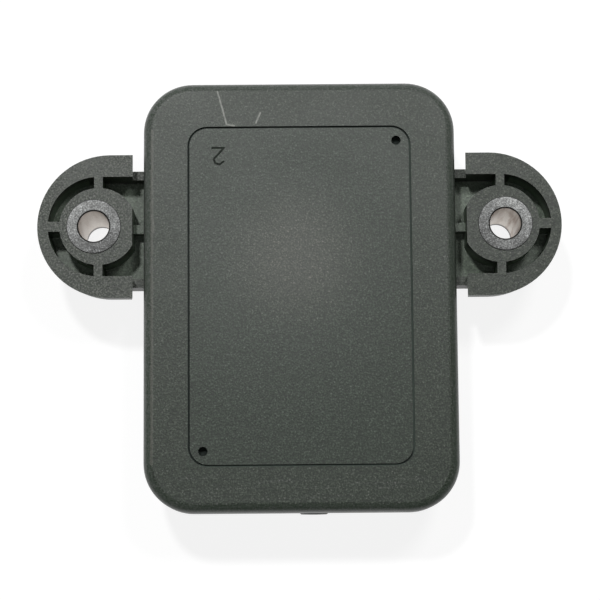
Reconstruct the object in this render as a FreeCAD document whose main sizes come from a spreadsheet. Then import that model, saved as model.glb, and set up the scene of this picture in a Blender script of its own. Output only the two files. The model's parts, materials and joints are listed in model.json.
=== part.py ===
import FreeCAD, Part
import math
import os
import Sketcher
from FreeCAD import Vector

# Manifold absolute pressure sensor: a flat box that bolts down by two sleeved ears.
# Millimetres. The rear mounting plane is z = 0, the cover faces +Z, the plug and the hose come in along -Y.
# The origin is under the middle of the box.

PARTS_FOLDER = "parts"
SMALL = 1e-4  # lengths and volumes under this count as nothing

# Driving dimensions: alias, size in millimetres (or a count), meaning
DIMENSIONS = [
    # Levels above the rear mounting plane
    ("floor_level", 2.0, "inner floor of the deep chamber"),
    ("bay_level", 14.0, "roof of the plug bay"),
    ("shelf_level", 16.0, "inner floor above the plug bay"),
    ("parting_level", 17.0, "joint between housing and cover"),
    ("tongue_level", 18.8, "top of the housing's tongue"),
    ("groove_level", 19.6, "bottom of the cover's groove"),
    ("lid_level", 21.9, "inside of the cover's lid"),
    ("face_level", 24.5, "cover face"),
    # Cover
    ("cover_width", 64.6, "cover, across"),
    ("cover_length", 89.1, "cover, along"),
    ("cover_corner", 10.2, "cover, corner radius in plan"),
    ("cover_round", 2.0, "radius round the edge of the face"),
    ("skirt_wall", 3.4, "thickness of the cover's skirt"),
    ("groove_inset", 1.1, "cover's side to its groove"),
    ("groove_width", 1.3, "groove in the skirt's lower edge"),
    ("panel_width", 46.3, "plain panel on the face, across"),
    ("panel_length", 70.5, "plain panel on the face, along"),
    ("panel_corner", 4.1, "plain panel, corner radius"),
    ("panel_line_width", 0.42, "line round the panel, width"),
    ("panel_line_depth", 0.5, "line round the panel, depth"),
    ("pit_radius", 0.97, "small blind hole in the face"),
    ("pit_depth", 2.0, "small blind hole in the face, depth"),
    ("pit_across", 20.1, "small blind holes, from the middle"),
    ("pit_along", 32.1, "small blind holes, from the middle"),
    # Housing tray
    ("tray_width", 63.4, "housing, across"),
    ("tray_length", 87.9, "housing, along"),
    ("tray_corner", 9.6, "housing, corner radius in plan"),
    ("tray_wall", 2.5, "housing, wall thickness"),
    ("tray_round", 1.0, "radius round the rear face"),
    ("bay_along", -26.0, "wall behind the plug bay"),
    ("bay_corner", 2.0, "corner radius beside the plug bay"),
    ("bay_wall", 2.2, "thickness of the wall behind the plug bay"),
    ("chamber_corner", 3.0, "corner radius inside the deep chamber"),
    ("tongue_inset", 1.35, "cover's side to the tongue"),
    ("tongue_width", 0.8, "tongue, thickness"),
    ("gusset_width", 1.6, "gusset in the bay, thickness"),
    ("gusset_reach", 12.0, "gusset in the bay, along the roof"),
    ("gusset_drop", 9.0, "gusset in the bay, down the wall"),
    ("gusset_across", 13.0, "first gusset, from the middle"),
    ("gusset_pitch", 10.0, "between the gussets"),
    # Ears
    ("ear_along", 15.0, "line through both ears"),
    ("ear_front", 21.3, "front of the ear's wall and boss"),
    ("web_high", 13.5, "bottom of the ear's pockets"),
    ("web_low", 11.7, "rear of the ear's web and wall"),
    ("boss_rear", 0.2, "rear end of the boss"),
    ("ear_draft", 5.0, "slope of the ear's wall, in degrees"),
    ("ear_round", 1.8, "radius round the rear of the ear's wall"),
    ("ear_end", 34.7, "open end of the ear's wall"),
    ("ear_outer_across", 39.5, "centre of the wall's outer arc"),
    ("ear_outer_radius", 15.03, "wall's outer arc"),
    ("ear_inner_across", 41.9, "centre of the wall's inner arc"),
    ("ear_inner_radius", 10.47, "wall's inner arc"),
    ("neck_half_width", 12.35, "neck between ear and housing"),
    ("boss_across", 41.85, "centre of the boss"),
    ("boss_radius", 8.1, "boss round the sleeve"),
    ("boss_flat", 34.8, "flat of the boss, towards the housing"),
    ("rib_across", 41.85, "upper and lower rib"),
    ("rib_width", 1.8, "upper and lower rib, thickness"),
    ("side_rib_width", 2.1, "outer rib, thickness"),
    ("neck_rib_width", 1.85, "rib from the boss to the housing, thickness"),
    ("gusset_low", 2.5, "lower end of the gussets behind the ear"),
    ("gusset_root", 7.0, "middle of the boss to the gussets' inner end"),
    ("gusset_span", 11.8, "middle of the boss to the outer end of the upper and lower gussets"),
    ("side_gusset_span", 9.9, "middle of the boss to the outer end of the side gusset"),
    # Sleeves
    ("sleeve_spacing", 85.6, "between the two bolt axes"),
    ("sleeve_radius", 5.66, "steel sleeve, outside"),
    ("sleeve_bore", 3.2, "steel sleeve, bore for an M6 bolt"),
    ("sleeve_length", 21.5, "steel sleeve, length"),
    ("sleeve_chamfer", 0.25, "steel sleeve, chamfer of the bore"),
    # Plug socket
    ("socket_across", -15.0, "middle of the plug socket"),
    ("socket_level", 5.6, "middle of the plug socket"),
    ("shroud_width", 23.4, "plug shroud, across"),
    ("shroud_height", 10.4, "plug shroud, height"),
    ("shroud_corner", 2.5, "plug shroud, corner radius"),
    ("shroud_end", -42.8, "mouth of the plug shroud"),
    ("socket_width", 20.0, "plug socket, across"),
    ("socket_height", 7.0, "plug socket, height"),
    ("socket_corner", 1.6, "plug socket, corner radius"),
    ("socket_depth", 16.0, "plug socket, depth"),
    ("key_width", 2.0, "key in the socket, width"),
    ("key_height", 1.0, "key in the socket, height"),
    ("latch_width", 5.2, "latch ramp on the shroud, width"),
    ("latch_height", 1.6, "latch ramp on the shroud, height"),
    ("latch_length", 4.0, "latch ramp on the shroud, length"),
    ("latch_setback", 1.2, "mouth to the latch ramp"),
    # Terminals
    ("terminal_pitch", 5.0, "between terminals"),
    ("terminal_width", 2.3, "terminal blade, width"),
    ("terminal_thickness", 0.8, "terminal blade, thickness"),
    ("terminal_tip", -37.5, "tip of the blade"),
    ("terminal_riser", -20.8, "inner face of the upright part"),
    ("terminal_top", 19.6, "top of the solder tail"),
    ("terminal_bend", 1.2, "outer radius of the bend"),
    ("tail_width", 1.4, "solder tail, width"),
    ("tail_level", 14.5, "where the blade narrows to the tail"),
    ("tip_chamfer", 0.3, "chamfer of the blade's tip"),
    # Hose nipple
    ("port_across", 2.6, "axis of the nipple"),
    ("port_level", 6.0, "axis of the nipple"),
    ("port_tip", -44.45, "end of the nipple"),
    ("port_bore", 1.25, "passage through the nipple"),
    ("port_radius", 2.6, "nipple, shank"),
    ("port_collar_radius", 4.2, "nipple, collar at its root"),
    ("port_collar_length", 1.5, "nipple, collar at its root"),
    ("bead_radius", 3.1, "bead that holds the hose"),
    ("bead_length", 2.95, "bead, with its chamfer"),
    ("bead_slope", 0.6, "slope behind the bead"),
    ("bead_chamfer", 0.35, "chamfer of the bead"),
    # Seat of the pressure cell
    ("cell_along", -13.5, "axis of the pressure cell"),
    ("seat_radius", 6.2, "boss that seats the cell's tube"),
    ("seat_top", 12.2, "top of that boss"),
    ("seat_bore", 3.8, "bore for the seal"),
    ("seat_step", 9.0, "step that carries the seal"),
    ("well_radius", 2.9, "well under the seal"),
    ("well_level", 4.5, "bottom of the well"),
    ("duct_width", 7.2, "rib round the passage, across"),
    ("duct_top", 9.4, "rib round the passage, top"),
    ("filter_level", 7.4, "filter in the well, lower face"),
    ("filter_thickness", 1.0, "filter in the well"),
    ("seal_height", 1.3, "square ring that seals the tube, height"),
    # Pressure cell
    ("case_width", 13.0, "cell's case, across"),
    ("case_corner", 1.0, "cell's case, corner radius"),
    ("case_low", 12.6, "cell's case, lower face"),
    ("case_top", 16.6, "cell's case, upper face"),
    ("cavity_width", 9.0, "hollow of the case"),
    ("cavity_level", 14.0, "floor of that hollow"),
    ("lid_width", 10.8, "cell's lid"),
    ("lid_thickness", 0.4, "cell's lid"),
    ("tube_radius", 2.5, "cell's tube, outside"),
    ("tube_bore", 0.9, "cell's tube, bore"),
    ("tube_end", 8.6, "lower end of the tube"),
    ("pedestal_width", 4.0, "glass under the die"),
    ("pedestal_thickness", 1.5, "glass under the die"),
    ("pedestal_bore", 0.5, "hole through the glass"),
    ("die_width", 3.0, "sensing die"),
    ("die_thickness", 0.5, "sensing die"),
    ("die_hollow", 1.6, "hollow under the die's membrane"),
    ("die_membrane", 0.15, "die's membrane"),
    ("lead_level", 14.4, "cell's leads, lower face"),
    ("lead_thickness", 0.25, "cell's leads"),
    ("lead_width", 0.5, "cell's leads"),
    ("lead_pitch", 2.5, "between the cell's leads"),
    ("lead_reach", 8.45, "cell's axis to the outside of a lead"),
    ("lead_bend", 0.6, "outer radius of a lead's bend"),
    ("lead_top", 19.4, "top of the leads"),
    ("leads_a_side", 3, "leads on each side of the cell"),
    # Circuit board
    ("board_width", 55.6, "board, across"),
    ("board_length", 79.0, "board, along"),
    ("board_corner", 5.0, "board, corner radius"),
    ("board_thickness", 1.6, "board"),
    ("hole_clearance", 0.1, "round every pin and screw in the board"),
    ("post_across", 23.5, "board posts, from the middle"),
    ("post_front", -18.0, "board posts near the plug"),
    ("post_pitch", 51.0, "between near and far posts"),
    ("post_radius", 3.2, "board post"),
    ("rest_along", -35.0, "low rests under the board, along"),
    ("rest_radius", 2.5, "low rest under the board"),
    ("screw_radius", 1.25, "board screw, shank"),
    ("screw_reach", 7.0, "board screw, below the board"),
    ("screw_point", 0.8, "board screw, tapered end"),
    ("screw_head", 2.6, "board screw, head radius"),
    ("screw_head_height", 1.7, "board screw, head height"),
    ("screw_cross", 2.6, "cross recess, span"),
    ("screw_cross_width", 0.6, "cross recess, width"),
    ("screw_cross_depth", 0.9, "cross recess, depth"),
    ("pilot_depth", 9.0, "hole in a board post"),
    # Amplifier
    ("amplifier_across", -8.0, "amplifier, middle"),
    ("amplifier_along", 10.0, "amplifier, middle"),
    ("amplifier_length", 8.7, "amplifier, body"),
    ("amplifier_width", 3.9, "amplifier, body"),
    ("amplifier_gap", 0.15, "board to the amplifier's body"),
    ("amplifier_height", 1.5, "amplifier, body"),
    ("amplifier_span", 6.2, "amplifier, over its feet"),
    ("foot_pitch", 1.27, "between its feet"),
    ("foot_width", 0.42, "a foot"),
    ("foot_thickness", 0.2, "a foot"),
    ("foot_length", 0.8, "a foot, on the board"),
    ("foot_shoulder", 0.65, "board to the shoulder of a foot"),
    ("feet_a_side", 7, "feet on each side of the amplifier"),
    # Parts soldered on the board by two metal ends
    ("end_cap", 0.5, "metal end, length"),
    ("end_lift", 0.05, "how far a metal end stands proud"),
]

# The parts with two metal ends: across, along, length, width, height
TWO_ENDED_PARTS = {
    "supply_capacitor": (-16.0, -11.0, 7.3, 4.3, 2.8),
    "output_capacitor": (-7.5, -25.0, 3.2, 2.5, 1.4),
    "filter_capacitor": (-2.0, 20.0, 3.2, 2.5, 1.4),
    "gain_resistor": (6.0, 13.0, 3.2, 1.6, 0.6),
    "offset_resistor": (6.0, 8.0, 3.2, 1.6, 0.6),
    "load_resistor": (-16.0, -4.0, 3.2, 1.6, 0.6),
    "protection_diode": (-16.0, -28.0, 4.4, 2.6, 2.2),
}
PART_SIZES = ("across", "along", "length", "width", "height")


# The document and its sheet of sizes

document = FreeCAD.newDocument("pressure_sensor")
sheet = document.addObject("Spreadsheet::Sheet", "sizes")


def fill_sheet():
    """Writes every driving dimension into the sheet, one row each."""
    rows = list(DIMENSIONS)
    for part_name, values in TWO_ENDED_PARTS.items():
        for size_name, value in zip(PART_SIZES, values):
            rows.append((f"{part_name}_{size_name}", value, f"{part_name.replace('_', ' ')}, {size_name}"))
    for row, (alias, value, meaning) in enumerate(rows, start=1):
        sheet.set(f"A{row}", meaning)
        sheet.set(f"B{row}", str(value))
        sheet.setAlias(f"B{row}", alias)
    document.recompute()


def number(formula):
    """The value of a formula over the sheet."""
    return float(sheet.evalExpression(formula))


# Bodies, sketches and features

def new_body(name, across="0", along="0", level="0"):
    """A sub-part, placed by three formulas."""
    body = document.addObject("PartDesign::Body", name)
    body.Label = name
    for axis, formula in zip("xyz", (across, along, level)):
        body.setExpression(f"Placement.Base.{axis}", formula)
    return body


def origin_feature(body, role):
    return next(feature for feature in body.Origin.OriginFeatures if feature.Role == role)


def new_sketch(body, name, plane="XY_Plane", level="0", right="0", up="0"):
    """A sketch on an origin plane: level moves it along the plane's normal, right and up within the plane."""
    sketch = body.newObject("Sketcher::SketchObject", name)
    sketch.AttachmentSupport = [(origin_feature(body, plane), "")]
    sketch.MapMode = "FlatFace"
    for axis, formula in zip("xyz", (right, up, level)):
        sketch.setExpression(f"AttachmentOffset.Base.{axis}", formula)
    return sketch


def bind(sketch, kind, places, formula):
    """Adds a dimension to the sketch and ties it to a formula."""
    index = sketch.addConstraint(Sketcher.Constraint(kind, *places, number(formula)))
    sketch.setExpression(f"Constraints[{index}]", formula)


def pin(sketch, geometry, point, right, up):
    """Fixes a point of the sketch by its distances from the sketch's origin."""
    bind(sketch, "DistanceX", (-1, 1, geometry, point), right)
    bind(sketch, "DistanceY", (-1, 1, geometry, point), up)


def add_circle(sketch, radius, right="0", up="0"):
    centre = Vector(number(right), number(up), 0)
    circle = sketch.addGeometry(Part.Circle(centre, Vector(0, 0, 1), number(radius)))
    pin(sketch, circle, 3, right, up)
    bind(sketch, "Radius", (circle,), radius)


def add_polygon(sketch, points):
    """A closed shape of straight lines whose every corner is pinned."""
    places = [Vector(number(right), number(up), 0) for right, up in points]
    lines = []
    for start, end in zip(places, places[1:] + places[:1]):
        lines.append(sketch.addGeometry(Part.LineSegment(start, end)))
    for line, following in zip(lines, lines[1:] + lines[:1]):
        sketch.addConstraint(Sketcher.Constraint("Coincident", line, 2, following, 1))
    for line, (right, up) in zip(lines, points):
        pin(sketch, line, 1, right, up)


def add_outline(sketch, corners):
    """A closed shape of level and upright lines. A corner is (right, up, radius), radius None where sharp."""
    places = [Vector(number(right), number(up), 0) for right, up, radius in corners]
    radii = [number(radius) if radius else 0.0 for right, up, radius in corners]
    count = len(corners)
    courses = [(places[(i + 1) % count] - places[i]).normalize() for i in range(count)]
    lines = []
    for i, course in enumerate(courses):
        start = places[i] + course * radii[i]
        end = places[(i + 1) % count] - course * radii[(i + 1) % count]
        lines.append(sketch.addGeometry(Part.LineSegment(start, end)))
        if abs(course.x) > abs(course.y):
            sketch.addConstraint(Sketcher.Constraint("Horizontal", lines[i]))
            bind(sketch, "DistanceY", (-1, 1, lines[i], 1), corners[i][1])
        else:
            sketch.addConstraint(Sketcher.Constraint("Vertical", lines[i]))
            bind(sketch, "DistanceX", (-1, 1, lines[i], 1), corners[i][0])
    for i, (right, up, radius) in enumerate(corners):
        before, after = courses[i - 1], courses[i]
        if radius is None:
            sketch.addConstraint(Sketcher.Constraint("Coincident", lines[i - 1], 2, lines[i], 1))
            continue
        entry = places[i] - before * radii[i]
        leave = places[i] + after * radii[i]
        centre = entry + after * radii[i]
        turns_left = before.cross(after).z > 0
        first, last = (entry, leave) if turns_left else (leave, entry)
        angles = [math.atan2(point.y - centre.y, point.x - centre.x) for point in (first, last)]
        if angles[1] < angles[0]:
            angles[1] += 2 * math.pi
        arc = sketch.addGeometry(Part.ArcOfCircle(Part.Circle(centre, Vector(0, 0, 1), radii[i]), *angles))
        entry_end, leave_end = (1, 2) if turns_left else (2, 1)
        sketch.addConstraint(Sketcher.Constraint("Tangent", lines[i - 1], 2, arc, entry_end))
        sketch.addConstraint(Sketcher.Constraint("Tangent", arc, leave_end, lines[i], 1))
        bind(sketch, "Radius", (arc,), radius)


def add_rectangle(sketch, width, height, radius=None, right="0", up="0"):
    """A rectangle round a centre, with rounded corners if a radius is given."""
    low_right, high_right = (f"{right} {sign} ({width}) / 2" for sign in "-+")
    low_up, high_up = (f"{up} {sign} ({height}) / 2" for sign in "-+")
    add_outline(sketch, [(low_right, low_up, radius), (high_right, low_up, radius),
                         (high_right, high_up, radius), (low_right, high_up, radius)])


def add_ring(sketch, inset, width):
    """Two loops that follow the cover's outline, the outer one inset from the cover's side."""
    for depth in (inset, f"({inset} + {width})"):
        add_rectangle(sketch, f"sizes.cover_width - 2 * {depth}", f"sizes.cover_length - 2 * {depth}",
                      f"sizes.cover_corner - {depth}")


def add_ear_loop(sketch, centre, radius, end):
    """A half circle open towards the housing, closed by two level lines and an upright one."""
    middle, size, stop = number(centre), number(radius), number(end)
    arc = sketch.addGeometry(Part.ArcOfCircle(
        Part.Circle(Vector(middle, 0, 0), Vector(0, 0, 1), size), math.pi / 2, 3 * math.pi / 2))
    top = sketch.addGeometry(Part.LineSegment(Vector(stop, size, 0), Vector(middle, size, 0)))
    bottom = sketch.addGeometry(Part.LineSegment(Vector(middle, -size, 0), Vector(stop, -size, 0)))
    end_line = sketch.addGeometry(Part.LineSegment(Vector(stop, -size, 0), Vector(stop, size, 0)))
    sketch.addConstraint(Sketcher.Constraint("Tangent", top, 2, arc, 1))
    sketch.addConstraint(Sketcher.Constraint("Tangent", arc, 2, bottom, 1))
    sketch.addConstraint(Sketcher.Constraint("Coincident", bottom, 2, end_line, 1))
    sketch.addConstraint(Sketcher.Constraint("Coincident", end_line, 2, top, 1))
    sketch.addConstraint(Sketcher.Constraint("Horizontal", top))
    sketch.addConstraint(Sketcher.Constraint("Horizontal", bottom))
    sketch.addConstraint(Sketcher.Constraint("Vertical", end_line))
    pin(sketch, arc, 3, centre, "0")
    bind(sketch, "Radius", (arc,), radius)
    bind(sketch, "DistanceX", (-1, 1, end_line, 1), end)


def extrude(body, kind, sketch, length, name, flip=False, both_ways=False, taper="0"):
    """Draws a sketch out. The taper, in degrees, widens it on the way and narrows it where it is negative."""
    feature = body.newObject(kind, name)
    feature.Profile = (sketch, [""])
    feature.setExpression("Length", length)
    feature.setExpression("TaperAngle", taper)
    feature.Reversed = flip
    feature.SideType = "Symmetric" if both_ways else "One side"
    feature.Refine = True
    return feature


def pad(body, sketch, length, name, **options):
    return extrude(body, "PartDesign::Pad", sketch, length, name, **options)


def pocket(body, sketch, length, name, **options):
    """Cuts away from the sketch's normal, or along it with flip. Stops if nothing was cut."""
    document.recompute()
    before = body.Shape.Volume
    feature = extrude(body, "PartDesign::Pocket", sketch, length, name, **options)
    document.recompute()
    if feature.Shape.Volume > before - SMALL:
        raise RuntimeError(f"{name} cuts nothing")
    return feature


def revolve(body, sketch, name, axis="V_Axis"):
    feature = body.newObject("PartDesign::Revolution", name)
    feature.Profile = (sketch, [""])
    feature.ReferenceAxis = (sketch, [axis])
    feature.Angle = 360
    feature.Refine = True
    return feature


def repeat(body, originals, role, length, count, name):
    """A row of copies along one of the body's own axes."""
    feature = body.newObject("PartDesign::LinearPattern", name)
    feature.Originals = originals
    feature.Direction = (origin_feature(body, role), [""])
    feature.setExpression("Length", length)
    feature.setExpression("Occurrences", count)
    feature.Refine = True
    body.Tip = feature
    return feature


def dress_edges(body, kind, base, size_name, size, keep, name):
    """A fillet or chamfer on those edges of a feature that keep() accepts."""
    document.recompute()
    edges = [f"Edge{i}" for i, edge in enumerate(base.Shape.Edges, start=1) if keep(edge)]
    feature = body.newObject(kind, name)
    feature.Base = (base, edges)
    feature.setExpression(size_name, size)
    feature.Refine = True
    return feature


def fillet(body, base, radius, keep, name):
    return dress_edges(body, "PartDesign::Fillet", base, "Radius", radius, keep, name)


def chamfer(body, base, size, keep, name):
    return dress_edges(body, "PartDesign::Chamfer", base, "Size", size, keep, name)


def lies_at_level(edge, level):
    return all(abs(vertex.Z - level) < SMALL for vertex in edge.Vertexes)


# Front cover

def make_front_cover():
    """A lid with a skirt, a rounded face edge and a groove for the housing's tongue."""
    body = new_body("front_cover")
    outline = new_sketch(body, "cover_outline", level="sizes.parting_level")
    add_rectangle(outline, "sizes.cover_width", "sizes.cover_length", "sizes.cover_corner")
    block = pad(body, outline, "sizes.face_level - sizes.parting_level", "cover_block")
    face = number("sizes.face_level")
    fillet(body, block, "sizes.cover_round", lambda edge: lies_at_level(edge, face), "cover_edge")

    inside = new_sketch(body, "cover_inside", level="sizes.parting_level")
    add_rectangle(inside, "sizes.cover_width - 2 * sizes.skirt_wall",
                  "sizes.cover_length - 2 * sizes.skirt_wall", "sizes.cover_corner - sizes.skirt_wall")
    pocket(body, inside, "sizes.lid_level - sizes.parting_level", "cover_hollow", flip=True)

    groove = new_sketch(body, "groove_loops", level="sizes.parting_level")
    add_ring(groove, "sizes.groove_inset", "sizes.groove_width")
    pocket(body, groove, "sizes.groove_level - sizes.parting_level", "cover_groove", flip=True)

    panel = new_sketch(body, "panel_loops", level="sizes.face_level")
    for inset in ("0", "sizes.panel_line_width"):
        add_rectangle(panel, f"sizes.panel_width - 2 * {inset}", f"sizes.panel_length - 2 * {inset}",
                      f"sizes.panel_corner - {inset}")
    pocket(body, panel, "sizes.panel_line_depth", "panel_line")

    pits = new_sketch(body, "pit_circles", level="sizes.face_level")
    for sign in ("", "-"):
        add_circle(pits, "sizes.pit_radius", f"{sign}sizes.pit_across", f"{sign}sizes.pit_along")
    pocket(body, pits, "sizes.pit_depth", "face_pits")
    return body


# Rear housing

def add_tray(body):
    """The tray that the cover closes: deep behind the board, shallow above the plug bay."""
    rim = new_sketch(body, "rim_outline", level="sizes.bay_level")
    add_rectangle(rim, "sizes.tray_width", "sizes.tray_length", "sizes.tray_corner")
    pad(body, rim, "sizes.parting_level - sizes.bay_level", "tray_rim")

    deep = new_sketch(body, "deep_outline")
    half_width, half_length = "sizes.tray_width / 2", "sizes.tray_length / 2"
    add_outline(deep, [(f"-{half_width}", "sizes.bay_along", "sizes.bay_corner"),
                       (half_width, "sizes.bay_along", "sizes.bay_corner"),
                       (half_width, half_length, "sizes.tray_corner"),
                       (f"-{half_width}", half_length, "sizes.tray_corner")])
    block = pad(body, deep, "sizes.bay_level", "deep_block")
    fillet(body, block, "sizes.tray_round", lambda edge: lies_at_level(edge, 0), "rear_edge")

    chamber = new_sketch(body, "chamber_outline", level="sizes.parting_level")
    wall_right = "sizes.tray_width / 2 - sizes.tray_wall"
    wall_top = "sizes.tray_length / 2 - sizes.tray_wall"
    inner_corner = "sizes.tray_corner - sizes.tray_wall"
    chamber_end = "sizes.bay_along + sizes.bay_wall"
    add_outline(chamber, [(f"-({wall_right})", chamber_end, "sizes.chamber_corner"),
                          (wall_right, chamber_end, "sizes.chamber_corner"),
                          (wall_right, wall_top, inner_corner),
                          (f"-({wall_right})", wall_top, inner_corner)])
    pocket(body, chamber, "sizes.parting_level - sizes.floor_level", "deep_chamber")

    shelf = new_sketch(body, "shelf_outline", level="sizes.parting_level")
    add_rectangle(shelf, "sizes.tray_width - 2 * sizes.tray_wall", "sizes.tray_length - 2 * sizes.tray_wall",
                  inner_corner)
    pocket(body, shelf, "sizes.parting_level - sizes.shelf_level", "shelf_hollow")

    tongue = new_sketch(body, "tongue_loops", level="sizes.parting_level")
    add_ring(tongue, "sizes.tongue_inset", "sizes.tongue_width")
    pad(body, tongue, "sizes.tongue_level - sizes.parting_level", "tongue")


def add_ears(body):
    """The left ear and its mirror image: ribbed pockets inside a wall, round the sleeve's off-centre boss."""
    def ear_sketch(name, level="0"):
        return new_sketch(body, name, level=level, up="sizes.ear_along")

    def mirrored(features, name):
        mirror = body.newObject("PartDesign::Mirrored", name)
        mirror.Originals = features
        mirror.MirrorPlane = (origin_feature(body, "YZ_Plane"), [""])
        mirror.Refine = True
        body.Tip = mirror
        return mirror

    housing_side = "-sizes.tray_width / 2"
    neck = ear_sketch("neck_outline", "sizes.web_low")
    add_outline(neck, [("-sizes.ear_outer_across", "-sizes.neck_half_width", None),
                       (housing_side, "-sizes.neck_half_width", None),
                       (housing_side, "sizes.neck_half_width", None),
                       ("-sizes.ear_outer_across", "sizes.neck_half_width", None)])
    outline = ear_sketch("ear_outline", "sizes.ear_front")
    add_ear_loop(outline, "-sizes.ear_outer_across", "sizes.ear_outer_radius", "-sizes.ear_end")
    blocks = [pad(body, neck, "sizes.parting_level - sizes.web_low", "neck_block"),
              pad(body, outline, "sizes.ear_front - sizes.web_low", "ear_block", flip=True,
                  taper="-sizes.ear_draft")]
    both_blocks = mirrored(blocks, "right_ear_block")
    web_low, ear_end = number("sizes.web_low"), number("sizes.ear_end")
    fillet(body, both_blocks, "sizes.ear_round",
           lambda edge: lies_at_level(edge, web_low) and edge.BoundBox.XLength > SMALL
           and all(abs(vertex.X) > ear_end for vertex in edge.Vertexes), "ear_rear_edge")

    recess = ear_sketch("ear_pocket_outline", "sizes.ear_front")
    add_ear_loop(recess, "-sizes.ear_inner_across", "sizes.ear_inner_radius", housing_side)
    features = [pocket(body, recess, "sizes.ear_front - sizes.web_high", "ear_pocket")]

    boss = ear_sketch("boss_outline", "sizes.boss_rear")
    add_flatted_circle(boss, "-sizes.boss_across", "sizes.boss_radius", "-sizes.boss_flat")
    features.append(pad(body, boss, "sizes.ear_front - sizes.boss_rear", "boss"))

    ribs = ear_sketch("rib_outlines", "sizes.web_low")
    wall_inside = "sizes.ear_inner_across + sizes.ear_inner_radius"
    rib_side = "sizes.rib_across + sizes.rib_width / 2"
    add_rectangle(ribs, "sizes.rib_width", "2 * sizes.ear_inner_radius", right="-sizes.rib_across")
    add_outline(ribs, [(f"-({wall_inside})", "-sizes.side_rib_width / 2", None),
                       (f"-({rib_side})", "-sizes.side_rib_width / 2", None),
                       (f"-({rib_side})", "sizes.side_rib_width / 2", None),
                       (f"-({wall_inside})", "sizes.side_rib_width / 2", None)])
    features.append(pad(body, ribs, "sizes.ear_front - sizes.web_low", "ear_ribs"))

    neck_rib = ear_sketch("neck_rib_outline", "sizes.boss_rear")
    add_outline(neck_rib, [("-sizes.boss_flat", "-sizes.neck_rib_width / 2", None),
                           (housing_side, "-sizes.neck_rib_width / 2", None),
                           (housing_side, "sizes.neck_rib_width / 2", None),
                           ("-sizes.boss_flat", "sizes.neck_rib_width / 2", None)])
    features.append(pad(body, neck_rib, "sizes.parting_level - sizes.boss_rear", "neck_rib"))

    features += add_ear_gussets(body)
    seat = ear_sketch("sleeve_seat_circle", "sizes.ear_front")
    add_circle(seat, "sizes.sleeve_radius", "-sizes.sleeve_spacing / 2")
    features.append(pocket(body, seat, "sizes.ear_front - sizes.boss_rear", "sleeve_seat"))
    mirrored(features, "right_ear")


def add_ear_gussets(body):
    """Three triangles behind the left ear, from the boss up to its web, in line with the front's ribs."""
    upright = new_sketch(body, "upright_gusset_outlines", "YZ_Plane", "-sizes.rib_across", "sizes.ear_along")
    for sign in ("", "-"):
        add_polygon(upright, [(f"{sign}sizes.gusset_root", "sizes.web_low"),
                              (f"{sign}sizes.gusset_span", "sizes.web_low"),
                              (f"{sign}sizes.gusset_root", "sizes.gusset_low")])
    level = new_sketch(body, "side_gusset_outline", "XZ_Plane", "-sizes.ear_along", "-sizes.boss_across")
    add_polygon(level, [("-sizes.gusset_root", "sizes.web_low"),
                        ("-sizes.side_gusset_span", "sizes.web_low"),
                        ("-sizes.gusset_root", "sizes.gusset_low")])
    return [pad(body, upright, "sizes.rib_width", "upright_gussets", both_ways=True),
            pad(body, level, "sizes.side_rib_width", "side_gusset", both_ways=True)]


def add_flatted_circle(sketch, centre, radius, flat):
    """A circle cut off by an upright line on its right."""
    middle, size, cut = number(centre), number(radius), number(flat)
    angle = math.acos((cut - middle) / size)
    arc = sketch.addGeometry(Part.ArcOfCircle(
        Part.Circle(Vector(middle, 0, 0), Vector(0, 0, 1), size), angle, 2 * math.pi - angle))
    height = size * math.sin(angle)
    line = sketch.addGeometry(Part.LineSegment(Vector(cut, -height, 0), Vector(cut, height, 0)))
    sketch.addConstraint(Sketcher.Constraint("Coincident", arc, 2, line, 1))
    sketch.addConstraint(Sketcher.Constraint("Coincident", line, 2, arc, 1))
    sketch.addConstraint(Sketcher.Constraint("Vertical", line))
    pin(sketch, arc, 3, centre, "0")
    bind(sketch, "Radius", (arc,), radius)
    bind(sketch, "DistanceX", (-1, 1, line, 1), flat)


def add_board_supports(body):
    """Four posts that take the board's screws, and two low rests above the plug bay."""
    posts = new_sketch(body, "post_circles", level="sizes.floor_level")
    holes = new_sketch(body, "pilot_circles", level="sizes.parting_level")
    rests = new_sketch(body, "rest_circles", level="sizes.shelf_level")
    for sign in ("", "-"):
        across = f"{sign}sizes.post_across"
        add_circle(rests, "sizes.rest_radius", across, "sizes.rest_along")
        for along in ("sizes.post_front", "sizes.post_front + sizes.post_pitch"):
            add_circle(posts, "sizes.post_radius", across, along)
            add_circle(holes, "sizes.screw_radius", across, along)
    pad(body, posts, "sizes.parting_level - sizes.floor_level", "board_posts")
    pocket(body, holes, "sizes.pilot_depth", "pilot_holes")
    pad(body, rests, "sizes.parting_level - sizes.shelf_level", "board_rests")


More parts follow.
